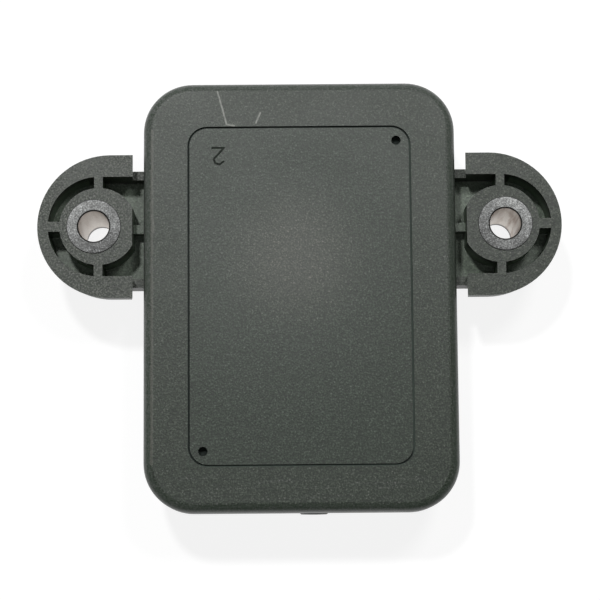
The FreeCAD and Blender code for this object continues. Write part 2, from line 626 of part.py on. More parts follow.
def add_plug_socket(body):
    """The shroud that takes the plug, with its key, latch ramp and slots for the terminals."""
    def upright_sketch(name, along):
        return new_sketch(body, name, "XZ_Plane", f"-({along})", "sizes.socket_across", "sizes.socket_level")

    shroud = upright_sketch("shroud_outline", "sizes.bay_along")
    add_rectangle(shroud, "sizes.shroud_width", "sizes.shroud_height", "sizes.shroud_corner")
    pad(body, shroud, "sizes.bay_along - sizes.shroud_end", "shroud")
    socket = upright_sketch("socket_outline", "sizes.shroud_end")
    add_rectangle(socket, "sizes.socket_width", "sizes.socket_height", "sizes.socket_corner")
    pocket(body, socket, "sizes.socket_depth", "plug_socket")

    key = upright_sketch("key_outline", "sizes.shroud_end + sizes.socket_depth")
    key_middle = "sizes.socket_height / 2 - sizes.key_height / 2"
    add_rectangle(key, "sizes.key_width", "sizes.key_height", up=key_middle)
    pad(body, key, "sizes.socket_depth - sizes.latch_setback", "socket_key")

    latch = new_sketch(body, "latch_outline", "YZ_Plane", "sizes.socket_across")
    shroud_top = "sizes.socket_level + sizes.shroud_height / 2"
    latch_start = "sizes.shroud_end + sizes.latch_setback"
    add_polygon(latch, [(latch_start, shroud_top),
                        (f"{latch_start} + sizes.latch_length", shroud_top),
                        (f"{latch_start} + sizes.latch_length", f"{shroud_top} + sizes.latch_height")])
    pad(body, latch, "sizes.latch_width", "latch_ramp", both_ways=True)

    slots = upright_sketch("terminal_slots_outline", "sizes.shroud_end + sizes.socket_depth")
    for place in (-1, 0, 1):
        add_rectangle(slots, "sizes.terminal_width", "sizes.terminal_thickness",
                      right=f"{place} * sizes.terminal_pitch")
    wall = "sizes.bay_along - sizes.shroud_end - sizes.socket_depth + sizes.bay_wall"
    pocket(body, slots, wall, "terminal_slots")


def add_hose_nipple(body):
    """The nipple, its passage, and the seat inside that takes the pressure cell's tube."""
    seat = new_sketch(body, "seat_circle", level="sizes.floor_level", right="sizes.port_across",
                      up="sizes.cell_along")
    add_circle(seat, "sizes.seat_radius")
    pad(body, seat, "sizes.seat_top - sizes.floor_level", "cell_seat")
    duct = new_sketch(body, "duct_outline", level="sizes.floor_level", right="sizes.port_across")
    duct_side = "sizes.duct_width / 2"
    add_outline(duct, [(f"-{duct_side}", "sizes.bay_along + sizes.bay_wall", None),
                       (duct_side, "sizes.bay_along + sizes.bay_wall", None),
                       (duct_side, "sizes.cell_along", None),
                       (f"-{duct_side}", "sizes.cell_along", None)])
    pad(body, duct, "sizes.duct_top - sizes.floor_level", "passage_rib")

    profile = new_sketch(body, "nipple_profile", "YZ_Plane", "sizes.port_across", up="sizes.port_level")
    collar_end = "sizes.bay_along - sizes.port_collar_length"
    bead_start = "sizes.port_tip + sizes.bead_length"
    add_polygon(profile, [("sizes.bay_along", "0"),
                          ("sizes.bay_along", "sizes.port_collar_radius"),
                          (collar_end, "sizes.port_collar_radius"),
                          (collar_end, "sizes.port_radius"),
                          (f"{bead_start} + sizes.bead_slope", "sizes.port_radius"),
                          (bead_start, "sizes.bead_radius"),
                          ("sizes.port_tip + sizes.bead_chamfer", "sizes.bead_radius"),
                          ("sizes.port_tip", "sizes.bead_radius - sizes.bead_chamfer"),
                          ("sizes.port_tip", "0")])
    revolve(body, profile, "hose_nipple", "H_Axis")

    well = new_sketch(body, "well_circle", level="sizes.seat_step", right="sizes.port_across",
                      up="sizes.cell_along")
    add_circle(well, "sizes.well_radius")
    seal_bore = new_sketch(body, "seal_bore_circle", level="sizes.seat_top", right="sizes.port_across",
                           up="sizes.cell_along")
    add_circle(seal_bore, "sizes.seat_bore")
    pocket(body, seal_bore, "sizes.seat_top - sizes.seat_step", "seal_bore")
    pocket(body, well, "sizes.seat_step - sizes.well_level", "cell_well")
    passage = new_sketch(body, "passage_circle", "XZ_Plane", "-sizes.port_tip", "sizes.port_across",
                         "sizes.port_level")
    add_circle(passage, "sizes.port_bore")
    pocket(body, passage, "sizes.cell_along - sizes.port_tip", "passage")


def add_bay_gussets(body):
    """Two thin gussets that carry the overhang beside the nipple."""
    for place in range(2):
        name = f"gusset_{place + 1}"
        across = f"sizes.gusset_across + {place} * sizes.gusset_pitch"
        profile = new_sketch(body, f"{name}_outline", "YZ_Plane", across)
        add_polygon(profile, [("sizes.bay_along", "sizes.bay_level"),
                              ("sizes.bay_along - sizes.gusset_reach", "sizes.bay_level"),
                              ("sizes.bay_along", "sizes.bay_level - sizes.gusset_drop")])
        pad(body, profile, "sizes.gusset_width", name, both_ways=True)


def make_rear_housing():
    body = new_body("rear_housing")
    add_tray(body)
    add_ears(body)
    add_board_supports(body)
    add_plug_socket(body)
    add_hose_nipple(body)
    add_bay_gussets(body)
    return body


# Sleeves and seals

def make_sleeve(name, side):
    """A steel sleeve that takes the bolt's clamping force through a moulded ear."""
    body = new_body(name, f"{side} * sizes.sleeve_spacing / 2", "sizes.ear_along")
    profile = new_sketch(body, f"{name}_profile", "XZ_Plane")
    mouth = "sizes.sleeve_bore + sizes.sleeve_chamfer"
    add_polygon(profile, [(mouth, "0"),
                          ("sizes.sleeve_radius", "0"),
                          ("sizes.sleeve_radius", "sizes.sleeve_length"),
                          (mouth, "sizes.sleeve_length"),
                          ("sizes.sleeve_bore", "sizes.sleeve_length - sizes.sleeve_chamfer"),
                          ("sizes.sleeve_bore", "sizes.sleeve_chamfer")])
    revolve(body, profile, f"{name}_turned")
    return body


def make_cover_seal():
    """The bead that fills the cover's groove round the tongue."""
    body = new_body("cover_seal")
    outside = new_sketch(body, "bead_loops", level="sizes.parting_level")
    add_ring(outside, "sizes.groove_inset", "sizes.groove_width")
    pad(body, outside, "sizes.groove_level - sizes.parting_level", "bead")
    inside = new_sketch(body, "bead_slot_loops", level="sizes.parting_level")
    add_ring(inside, "sizes.tongue_inset", "sizes.tongue_width")
    pocket(body, inside, "sizes.tongue_level - sizes.parting_level", "bead_slot", flip=True)
    return body


def make_port_seal():
    """The square ring that fills the step between the pressure cell's tube and its seat."""
    body = new_body("port_seal", "sizes.port_across", "sizes.cell_along")
    section = new_sketch(body, "seal_circles", level="sizes.seat_step")
    for radius in ("sizes.seat_bore", "sizes.tube_radius"):
        add_circle(section, radius)
    pad(body, section, "sizes.seal_height", "seal_ring")
    return body


def make_port_filter():
    """The sintered disc that keeps droplets out of the pressure cell."""
    disc = document.addObject("Part::Cylinder", "port_filter")
    disc.Label = "port_filter"
    disc.setExpression("Radius", "sizes.well_radius")
    disc.setExpression("Height", "sizes.filter_thickness")
    disc.setExpression("Placement.Base.x", "sizes.port_across")
    disc.setExpression("Placement.Base.y", "sizes.cell_along")
    disc.setExpression("Placement.Base.z", "sizes.filter_level")
    return disc


# Terminals

def make_terminal(name, place):
    """A bent blade: plug contact at one end, solder tail at the other."""
    body = new_body(name, f"sizes.socket_across + {place} * sizes.terminal_pitch")
    low = "sizes.socket_level - sizes.terminal_thickness / 2"
    high = "sizes.socket_level + sizes.terminal_thickness / 2"
    inner_bend = "sizes.terminal_bend - sizes.terminal_thickness"
    outer_face = "sizes.terminal_riser - sizes.terminal_thickness"
    profile = new_sketch(body, f"{name}_profile", "YZ_Plane")
    add_outline(profile, [("sizes.terminal_tip", low, None),
                          ("sizes.terminal_riser", low, "sizes.terminal_bend"),
                          ("sizes.terminal_riser", "sizes.terminal_top", None),
                          (outer_face, "sizes.terminal_top", None),
                          (outer_face, high, inner_bend),
                          ("sizes.terminal_tip", high, None)])
    pad(body, profile, "sizes.terminal_width", f"{name}_blade", both_ways=True)

    waste = new_sketch(body, f"{name}_waste", "XZ_Plane", "-sizes.terminal_riser")
    strip = "sizes.terminal_width / 2 - sizes.tail_width / 2"
    height = "sizes.terminal_top - sizes.tail_level"
    for sign in ("", "-"):
        add_rectangle(waste, strip, height, right=f"{sign}(sizes.tail_width / 2 + ({strip}) / 2)",
                      up=f"sizes.tail_level + ({height}) / 2")
    tail = pocket(body, waste, "2 * sizes.terminal_thickness", f"{name}_tail", both_ways=True)

    tip = number("sizes.terminal_tip")
    chamfer(body, tail, "sizes.tip_chamfer",
            lambda edge: all(abs(vertex.Y - tip) < SMALL for vertex in edge.Vertexes), f"{name}_tip")
    return body


# Pressure cell

def make_cell_case():
    """The cell's moulded case, with the tube that reaches down into the seat."""
    body = new_body("pressure_cell_case", "sizes.port_across", "sizes.cell_along")
    outline = new_sketch(body, "case_outline", level="sizes.case_low")
    add_rectangle(outline, "sizes.case_width", "sizes.case_width", "sizes.case_corner")
    pad(body, outline, "sizes.case_top - sizes.case_low", "case_block")
    tube = new_sketch(body, "tube_circle", level="sizes.case_low")
    add_circle(tube, "sizes.tube_radius")
    pad(body, tube, "sizes.case_low - sizes.tube_end", "tube", flip=True)
    rebate = new_sketch(body, "rebate_outline", level="sizes.case_top")
    add_rectangle(rebate, "sizes.lid_width", "sizes.lid_width")
    pocket(body, rebate, "sizes.lid_thickness", "lid_rebate")
    cavity = new_sketch(body, "cavity_outline", level="sizes.case_top")
    add_rectangle(cavity, "sizes.cavity_width", "sizes.cavity_width")
    pocket(body, cavity, "sizes.case_top - sizes.cavity_level", "cavity")
    bore = new_sketch(body, "tube_bore_circle", level="sizes.cavity_level")
    add_circle(bore, "sizes.tube_bore")
    pocket(body, bore, "sizes.cavity_level - sizes.tube_end", "tube_bore")

    slot = new_sketch(body, "lead_slot_outline", "YZ_Plane", right="-sizes.lead_pitch")
    add_rectangle(slot, "sizes.lead_width", "sizes.lead_thickness",
                  up="sizes.lead_level + sizes.lead_thickness / 2")
    first = pocket(body, slot, "sizes.case_width", "lead_slot", both_ways=True)
    repeat(body, [first], "Y_Axis", "sizes.lead_pitch * (sizes.leads_a_side - 1)", "sizes.leads_a_side",
           "lead_slots")
    return body


def make_cell_lid():
    body = new_body("pressure_cell_lid", "sizes.port_across", "sizes.cell_along")
    outline = new_sketch(body, "lid_outline", level="sizes.case_top - sizes.lid_thickness")
    add_rectangle(outline, "sizes.lid_width", "sizes.lid_width")
    pad(body, outline, "sizes.lid_thickness", "lid_plate")
    return body


def make_glass_pedestal():
    """The drilled glass block that carries the die over the tube."""
    body = new_body("glass_pedestal", "sizes.port_across", "sizes.cell_along")
    outline = new_sketch(body, "pedestal_outline", level="sizes.cavity_level")
    add_rectangle(outline, "sizes.pedestal_width", "sizes.pedestal_width")
    pad(body, outline, "sizes.pedestal_thickness", "pedestal_block")
    bore = new_sketch(body, "pedestal_bore_circle", level="sizes.cavity_level + sizes.pedestal_thickness")
    add_circle(bore, "sizes.pedestal_bore")
    pocket(body, bore, "sizes.pedestal_thickness", "pedestal_hole")
    return body


def make_sensing_die():
    """The silicon die, hollowed from below so that a thin membrane is left."""
    body = new_body("sensing_die", "sizes.port_across", "sizes.cell_along")
    bottom = "sizes.cavity_level + sizes.pedestal_thickness"
    outline = new_sketch(body, "die_outline", level=bottom)
    add_rectangle(outline, "sizes.die_width", "sizes.die_width")
    pad(body, outline, "sizes.die_thickness", "die_block")
    hollow = new_sketch(body, "die_hollow_outline", level=bottom)
    add_rectangle(hollow, "sizes.die_hollow", "sizes.die_hollow")
    pocket(body, hollow, "sizes.die_thickness - sizes.die_membrane", "die_hollow", flip=True)
    return body


def make_cell_leads():
    """Six bent leads, three on each side of the cell."""
    body = new_body("pressure_cell_leads", "sizes.port_across", "sizes.cell_along")
    low = "sizes.lead_level"
    high = "sizes.lead_level + sizes.lead_thickness"
    inner_bend = "sizes.lead_bend - sizes.lead_thickness"
    profile = new_sketch(body, "lead_profiles", "XZ_Plane", "sizes.lead_pitch")
    for sign in ("", "-"):
        root = f"{sign}sizes.cavity_width / 2"
        outside = f"{sign}sizes.lead_reach"
        inside = f"{sign}(sizes.lead_reach - sizes.lead_thickness)"
        add_outline(profile, [(root, low, None), (outside, low, "sizes.lead_bend"),
                              (outside, "sizes.lead_top", None), (inside, "sizes.lead_top", None),
                              (inside, high, inner_bend), (root, high, None)])
    first = pad(body, profile, "sizes.lead_width", "lead_pair", both_ways=True)
    repeat(body, [first], "Y_Axis", "sizes.lead_pitch * (sizes.leads_a_side - 1)", "sizes.leads_a_side",
           "lead_pairs")
    return body


# Circuit board and what it carries

def make_circuit_board():
    """The board, drilled for its screws, the terminals and the cell's leads."""
    body = new_body("circuit_board")
    outline = new_sketch(body, "board_outline", level="sizes.parting_level")
    add_rectangle(outline, "sizes.board_width", "sizes.board_length", "sizes.board_corner")
    pad(body, outline, "sizes.board_thickness", "board_plate")

    holes = new_sketch(body, "board_holes", level="sizes.parting_level + sizes.board_thickness")
    for sign in ("", "-"):
        for along in ("sizes.post_front", "sizes.post_front + sizes.post_pitch"):
            add_circle(holes, "sizes.screw_radius + sizes.hole_clearance", f"{sign}sizes.post_across", along)
        for place in (-1, 0, 1):
            add_circle(holes, "sizes.lead_width / 2 + sizes.hole_clearance",
                       f"sizes.port_across + {sign}(sizes.lead_reach - sizes.lead_thickness / 2)",
                       f"sizes.cell_along + {place} * sizes.lead_pitch")
    for place in (-1, 0, 1):
        add_rectangle(holes, "sizes.tail_width + 2 * sizes.hole_clearance",
                      "sizes.terminal_thickness + 2 * sizes.hole_clearance",
                      right=f"sizes.socket_across + {place} * sizes.terminal_pitch",
                      up="sizes.terminal_riser - sizes.terminal_thickness / 2")
    pocket(body, holes, "sizes.board_thickness", "board_drilling")
    return body


def make_board_screws():
    """Four self-tapping screws with a cross recess, one in each post."""
    body = new_body("board_screws", "-sizes.post_across", "sizes.post_front")
    seat = "sizes.parting_level + sizes.board_thickness"
    end = "sizes.parting_level - sizes.screw_reach"
    top = f"{seat} + sizes.screw_head_height"
    profile = new_sketch(body, "screw_profile", "XZ_Plane")
    add_polygon(profile, [("0", end),
                          ("sizes.screw_radius", f"{end} + sizes.screw_point"),
                          ("sizes.screw_radius", seat),
                          ("sizes.screw_head", seat),
                          ("sizes.screw_head", top),
                          ("0", top)])
    turned = revolve(body, profile, "screw_turned")
    cross = new_sketch(body, "cross_outline", level=top)
    reach, half = "sizes.screw_cross / 2", "sizes.screw_cross_width / 2"
    add_outline(cross, [(f"-{reach}", f"-{half}", None), (f"-{half}", f"-{half}", None),
                        (f"-{half}", f"-{reach}", None), (half, f"-{reach}", None),
                        (half, f"-{half}", None), (reach, f"-{half}", None),
                        (reach, half, None), (half, half, None),
                        (half, reach, None), (f"-{half}", reach, None),
                        (f"-{half}", half, None), (f"-{reach}", half, None)])
    recess = pocket(body, cross, "sizes.screw_cross_depth", "cross_recess")
    grid = repeat(body, [turned, recess], "X_Axis", "2 * sizes.post_across", "2", "screw_grid")
    grid.Direction2 = (origin_feature(body, "Y_Axis"), [""])
    grid.setExpression("Length2", "sizes.post_pitch")
    grid.Occurrences2 = 2
    return body


def make_amplifier():
    """The amplifier: a flat block on two rows of bent feet."""
    board_top = "sizes.parting_level + sizes.board_thickness"
    body = new_body("amplifier_chip", "sizes.amplifier_across", "sizes.amplifier_along", board_top)
    outline = new_sketch(body, "amplifier_outline", level="sizes.amplifier_gap")
    add_rectangle(outline, "sizes.amplifier_length", "sizes.amplifier_width")
    pad(body, outline, "sizes.amplifier_height", "amplifier_block")

    row_length = "sizes.foot_pitch * (sizes.feet_a_side - 1)"
    profile = new_sketch(body, "foot_profiles", "YZ_Plane", f"-{row_length} / 2")
    for sign in ("", "-"):
        root = f"{sign}sizes.amplifier_width / 2"
        end = f"{sign}sizes.amplifier_span / 2"
        heel = f"{sign}(sizes.amplifier_span / 2 - sizes.foot_length)"
        shin = f"{sign}(sizes.amplifier_span / 2 - sizes.foot_length + sizes.foot_thickness)"
        shoulder = "sizes.foot_shoulder"
        shoulder_top = "sizes.foot_shoulder + sizes.foot_thickness"
        add_outline(profile, [(root, shoulder, None), (heel, shoulder, None),
                              (heel, "0", None), (end, "0", None),
                              (end, "sizes.foot_thickness", None), (shin, "sizes.foot_thickness", None),
                              (shin, shoulder_top, None), (root, shoulder_top, None)])
    first = pad(body, profile, "sizes.foot_width", "foot_pair", both_ways=True)
    repeat(body, [first], "X_Axis", row_length, "sizes.feet_a_side", "feet")
    return body


def make_two_ended_part(name):
    """A small block with a slightly larger metal cap at each end."""
    board_top = "sizes.parting_level + sizes.board_thickness"
    body = new_body(name, f"sizes.{name}_across", f"sizes.{name}_along", board_top)
    length, width, height = (f"sizes.{name}_{size_name}" for size_name in ("length", "width", "height"))
    block = new_sketch(body, f"{name}_block_outline", level="sizes.end_lift")
    add_rectangle(block, f"{length} - 2 * sizes.end_cap", width)
    pad(body, block, f"{height} - 2 * sizes.end_lift", f"{name}_block")
    caps = new_sketch(body, f"{name}_cap_outlines")
    for sign in ("", "-"):
        add_rectangle(caps, "sizes.end_cap", f"{width} + 2 * sizes.end_lift",
                      right=f"{sign}({length} / 2 - sizes.end_cap / 2)")
    pad(body, caps, height, f"{name}_caps")
    return body


# Assembly and export

def make_subparts():
    subparts = [make_front_cover(), make_rear_housing()]
    for name, side in (("left_sleeve", -1), ("right_sleeve", 1)):
        subparts.append(make_sleeve(name, side))
    subparts += [make_cover_seal(), make_port_seal(), make_port_filter()]
    for name, place in (("supply_terminal", -1), ("signal_terminal", 0), ("ground_terminal", 1)):
        subparts.append(make_terminal(name, place))
    subparts += [make_cell_case(), make_cell_lid(), make_glass_pedestal(), make_sensing_die()]
    subparts += [make_cell_leads(), make_circuit_board(), make_board_screws(), make_amplifier()]
    subparts += [make_two_ended_part(name) for name in TWO_ENDED_PARTS]
    return subparts


def check_document(subparts):
    """Stops if any object failed to build or any sub-part is empty or broken."""
    for item in document.Objects:
        if "Invalid" in item.State or "Error" in item.State:
            raise RuntimeError(f"{item.Name} failed: {item.State}")
    for subpart in subparts:
        if subpart.Shape.isNull() or not subpart.Shape.isValid():
            raise RuntimeError(f"{subpart.Label} has no valid shape")


def export(subparts):
    os.makedirs(PARTS_FOLDER, exist_ok=True)
    for subpart in subparts:
        subpart.Shape.exportStep(os.path.join(PARTS_FOLDER, f"{subpart.Label}.step"))
        print(f"{subpart.Label}: {len(subpart.Shape.Solids)} solid(s), {subpart.Shape.Volume:.1f} mm3")


fill_sheet()
all_subparts = make_subparts()
document.recompute()
check_document(all_subparts)
export(all_subparts)
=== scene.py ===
import bpy
import json
import math
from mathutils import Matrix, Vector


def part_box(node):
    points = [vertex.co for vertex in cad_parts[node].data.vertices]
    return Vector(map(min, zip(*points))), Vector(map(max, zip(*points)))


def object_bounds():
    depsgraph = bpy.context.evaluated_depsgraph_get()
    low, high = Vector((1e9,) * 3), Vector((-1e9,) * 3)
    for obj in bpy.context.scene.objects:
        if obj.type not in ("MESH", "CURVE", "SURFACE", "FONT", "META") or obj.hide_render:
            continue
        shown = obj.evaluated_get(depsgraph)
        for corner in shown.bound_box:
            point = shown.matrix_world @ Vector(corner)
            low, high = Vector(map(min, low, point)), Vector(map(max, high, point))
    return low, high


# Looks for the pressure sensor: finishes, the marks on its moulded parts, a floor, lamps and a camera.
# Metres, in the same frame as the solids: the sensor lies on its rear face and its cover faces up.

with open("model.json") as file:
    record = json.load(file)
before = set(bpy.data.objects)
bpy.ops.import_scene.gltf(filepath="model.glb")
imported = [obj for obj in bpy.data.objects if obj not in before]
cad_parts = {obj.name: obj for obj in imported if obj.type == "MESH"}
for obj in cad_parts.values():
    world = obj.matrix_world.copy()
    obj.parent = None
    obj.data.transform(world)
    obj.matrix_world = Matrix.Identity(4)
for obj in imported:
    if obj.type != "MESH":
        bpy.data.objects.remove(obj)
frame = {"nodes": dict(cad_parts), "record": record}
solid_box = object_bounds()

MM = 0.001
FACE_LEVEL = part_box("front_cover")[1].z
SLEEVE_ACROSS, SLEEVE_ALONG = 42.8 * MM, 15.0 * MM


# Building nodes

def add_node(tree, kind, feeds=None, **settings):
    """A node with its settings. Each feed is an input's name or number with a value or another output."""
    node = tree.nodes.new(kind)
    for name, value in settings.items():
        setattr(node, name, value)
    for name, value in (feeds or {}).items():
        if isinstance(value, bpy.types.NodeSocket):
            tree.links.new(value, node.inputs[name])
        else:
            node.inputs[name].default_value = value
    return node


def calculate(tree, operation, *values, clamp=False):
    """One step of arithmetic. Each value is a number or another node's output."""
    node = add_node(tree, "ShaderNodeMath", dict(enumerate(values)), operation=operation, use_clamp=clamp)
    return node.outputs["Value"]


def multiply(tree, product, *factors):
    """The product of all the values."""
    for factor in factors:
        product = calculate(tree, "MULTIPLY", product, factor)
    return product


def rescale(tree, value, low, high, new_low=0.0, new_high=1.0, smooth=False):
    """Moves the range low to high onto a new one, and holds it there."""
    feeds = {"Value": value, "From Min": low, "From Max": high, "To Min": new_low, "To Max": new_high}
    curve = "SMOOTHSTEP" if smooth else "LINEAR"
    return add_node(tree, "ShaderNodeMapRange", feeds, interpolation_type=curve).outputs["Result"]


def vector_value(tree, operation, *vectors):
    """A number from vectors, such as a length or a distance."""
    node = add_node(tree, "ShaderNodeVectorMath", dict(enumerate(vectors)), operation=operation)
    return node.outputs["Value"]


def vector_result(tree, operation, *vectors):
    """A vector from vectors, such as a sum."""
    node = add_node(tree, "ShaderNodeVectorMath", dict(enumerate(vectors)), operation=operation)
    return node.outputs["Vector"]


def scale_vector(tree, vector, factor):
    """A vector, or a colour's three values, times a number."""
    node = add_node(tree, "ShaderNodeVectorMath", {0: vector, "Scale": factor}, operation="SCALE")
    return node.outputs["Vector"]


def split_vector(tree, vector):
    """A vector's values as X, Y and Z."""
    return add_node(tree, "ShaderNodeSeparateXYZ", {0: vector}).outputs


def join_vector(tree, **values):
    """A vector from its values X, Y and Z. One that isn't given is nought."""
    return add_node(tree, "ShaderNodeCombineXYZ", values).outputs["Vector"]


def place_on_part(tree):
    """The surface point in the sensor's own frame."""
    return add_node(tree, "ShaderNodeTexCoord").outputs["Object"]


def split_place(tree):
    """The surface point's distances across, along and above the rear plane, as X, Y and Z."""
    return split_vector(tree, place_on_part(tree))


def share_of_box(tree):
    """The surface point's share of its solid's own box, or the world's direction, as X, Y and Z."""
    return split_vector(tree, add_node(tree, "ShaderNodeTexCoord").outputs["Generated"])


def surface_rise(tree):
    """How far a surface faces up: one on the cover's face, nought on an upright wall."""
    return split_vector(tree, add_node(tree, "ShaderNodeNewGeometry").outputs["Normal"])["Z"]


def noise(tree, size, detail=2.0, roughness=0.5, place=None):
    """Soft random values of one grain size, which is a number or a socket, in metres."""
    scale = calculate(tree, "DIVIDE", 1.0, size) if isinstance(size, bpy.types.NodeSocket) else 1.0 / size
    feeds = {"Vector": place or place_on_part(tree), "Scale": scale,
             "Detail": detail, "Roughness": roughness}
    return add_node(tree, "ShaderNodeTexNoise", feeds).outputs["Fac"]


def lay_over(tree, colour, mask, over, share=1.0):
    """Paints a second colour over the first where the mask is one, wholly or by a share."""
    if share < 1.0:
        mask = multiply(tree, mask, share)
    return add_node(tree, "ShaderNodeMix", {0: mask, 6: colour, 7: over}, data_type="RGBA").outputs[2]


def lay_value(tree, value, mask, over):
    """Takes a second value where the mask is one."""
    return add_node(tree, "ShaderNodeMix", {0: mask, 2: value, 3: over}, data_type="FLOAT").outputs[0]


def grain_tone(tree, grain, contrast):
    """A value round one from a grain's tone, which runs from one over the contrast up to the contrast."""
    return calculate(tree, "POWER", contrast, grain["Tone"])


def shade_tone(tree, colour, tone):
    """Darkens or lightens a colour by a value round one."""
    return scale_vector(tree, colour, tone)


def shade_grain(tree, colour, tone):
    """Darkens or lightens by a grain's tone, with greyer flecks and greener hollows."""
    greyer = calculate(tree, "POWER", tone, 1.3)
    return vector_result(tree, "MULTIPLY", colour, join_vector(tree, X=greyer, Y=tone, Z=greyer))


# Effects that several finishes share

def start_effect(name, inputs, *outputs):
    """A node group. Its inputs are given as (name, kind, value), and its outputs, all numbers, by name."""
    tree = bpy.data.node_groups.new(name, "ShaderNodeTree")
    kinds = {"number": "NodeSocketFloat", "point": "NodeSocketVector"}
    for title, kind, value in inputs:
        socket = tree.interface.new_socket(name=title, in_out="INPUT", socket_type=kinds[kind])
        socket.default_value = value
    for title in outputs:
        tree.interface.new_socket(name=title, in_out="OUTPUT", socket_type=kinds["number"])
    return tree, tree.nodes.new("NodeGroupInput").outputs


def end_effect(tree, **results):
    """Joins the results to the group's outputs of the same names."""
    add_node(tree, "NodeGroupOutput", results)
    return tree


def make_moulded_grain():
    """The fine sparked texture of a moulding tool."""
    tree, given = start_effect("moulded_grain", [("Size", "number", 0.4 * MM)], "Height", "Tone")
    fine = noise(tree, given["Size"], detail=3.0, roughness=0.65)
    coarse = noise(tree, multiply(tree, given["Size"], 3.1), detail=1.0)
    height = calculate(tree, "MULTIPLY_ADD", coarse, 0.35, multiply(tree, fine, 0.65))
    return end_effect(tree, Height=height, Tone=rescale(tree, fine, 0.25, 0.75, -1.0, 1.0))


def make_handling_haze():
    """Broad soft patches where hands and dust have changed the gloss."""
    tree, given = start_effect("handling_haze", [("Size", "number", 14 * MM)], "Haze")
    broad = noise(tree, given["Size"], detail=3.0, roughness=0.55)
    return end_effect(tree, Haze=rescale(tree, broad, 0.3, 0.7, smooth=True))


def make_worn_edge():
    """A broken line along sharp edges, where a rounded normal leaves the true one."""
    inputs = [("Width", "number", 0.25 * MM), ("Break Size", "number", 0.9 * MM)]
    tree, given = start_effect("worn_edge", inputs, "Wear")
    rounded = add_node(tree, "ShaderNodeBevel", {"Radius": given["Width"]}, samples=6).outputs["Normal"]
    flat = add_node(tree, "ShaderNodeNewGeometry").outputs["Normal"]
    turn = calculate(tree, "SUBTRACT", 1.0, vector_value(tree, "DOT_PRODUCT", rounded, flat))
    broken = rescale(tree, noise(tree, given["Break Size"], detail=3.0), 0.42, 0.62)
    return end_effect(tree, Wear=multiply(tree, rescale(tree, turn, 0.02, 0.22), broken))


def make_specks():
    """Scattered small round specks: dust on the cover and nicks in the housing."""
    inputs = [("Spacing", "number", 2 * MM), ("Radius", "number", 0.2 * MM)]
    tree, given = start_effect("specks", inputs, "Specks")
    scale = calculate(tree, "DIVIDE", 1.0, given["Spacing"])
    cells = add_node(tree, "ShaderNodeTexVoronoi", {"Vector": place_on_part(tree), "Scale": scale})
    reach = calculate(tree, "DIVIDE", given["Radius"], given["Spacing"])
    size = multiply(tree, reach, noise(tree, multiply(tree, given["Spacing"], 2.0)), 2.0)
    near = calculate(tree, "SUBTRACT", size, cells.outputs["Distance"])
    return end_effect(tree, Specks=rescale(tree, near, 0.0, 0.06))


def make_scored_line():
    """A thin line from one point to another, a little uneven along its way."""
    inputs = [("From", "point", (0, 0, 0)), ("To", "point", (0, 0, 0)),
              ("Width", "number", 0.2 * MM), ("Unevenness", "number", 0.05 * MM)]
    tree, given = start_effect("scored_line", inputs, "Line")
    feeds = {"Vector": place_on_part(tree), "Scale": 1 / (1.5 * MM), "Detail": 2.0}
    wobble = add_node(tree, "ShaderNodeTexNoise", feeds).outputs["Color"]
    centred = vector_result(tree, "SUBTRACT", wobble, (0.5, 0.5, 0.5))
    shift = scale_vector(tree, centred, multiply(tree, given["Unevenness"], 2.0))
    place = vector_result(tree, "ADD", place_on_part(tree), shift)
    course = vector_result(tree, "SUBTRACT", given["To"], given["From"])
    reach = vector_result(tree, "SUBTRACT", place, given["From"])
    progress = vector_value(tree, "DOT_PRODUCT", reach, course)
    length_squared = vector_value(tree, "DOT_PRODUCT", course, course)
    share = calculate(tree, "DIVIDE", progress, length_squared, clamp=True)
    gap = vector_value(tree, "DISTANCE", reach, scale_vector(tree, course, share))
    half_widths = calculate(tree, "DIVIDE", gap, multiply(tree, given["Width"], 0.5))
    return end_effect(tree, Line=rescale(tree, half_widths, 0.7, 1.25, 1.0, 0.0, smooth=True))


def make_sunken():
    """A mask that fades in below a level: the floors of the lines and pits, which take painted shade, and
    of the pockets, which take painted light.
    """
    inputs = [("Level", "number", 0.0), ("Fade", "number", 0.1 * MM)]
    tree, given = start_effect("sunken", inputs, "Sunken")
    depth = calculate(tree, "SUBTRACT", given["Level"], split_place(tree)["Z"])
    return end_effect(tree, Sunken=calculate(tree, "DIVIDE", depth, given["Fade"], clamp=True))


EFFECTS = {tree.name: tree for tree in (make_moulded_grain(), make_handling_haze(), make_worn_edge(),
                                        make_specks(), make_scored_line(), make_sunken())}


def effect(tree, name, **values):
    """Places a shared effect with its own values and gives its outputs."""
    node = add_node(tree, "ShaderNodeGroup", node_tree=EFFECTS[name])
    for title, value in values.items():
        node.inputs[title.replace("_", " ")].default_value = value
    return node.outputs


# Starting and ending a finish

def start_finish(name, **plain):
    """A material with its shader. Plain values go straight onto the shader's own inputs."""
    material = bpy.data.materials.new(name)
    material.use_nodes = True
    tree = material.node_tree
    shader = tree.nodes["Principled BSDF"]
    for title, value in plain.items():
        shader.inputs[title.replace("_", " ")].default_value = value
    return material, tree, shader


def feed_shader(tree, shader, **sockets):
    """Joins worked-out values to the shader's inputs."""
    for title, socket in sockets.items():
        tree.links.new(socket, shader.inputs[title.replace("_", " ")])


def raise_surface(tree, height, depth):
    """The normal of a surface whose height varies by depth, in metres."""
    return add_node(tree, "ShaderNodeBump", {"Height": height, "Distance": depth}).outputs["Normal"]


# What both moulded parts share

PLASTIC_GLOSS = 0.4
PLASTIC_GRAIN = 0.37 * MM
DUST = (0.2, 0.2, 0.18, 1)


# The front cover

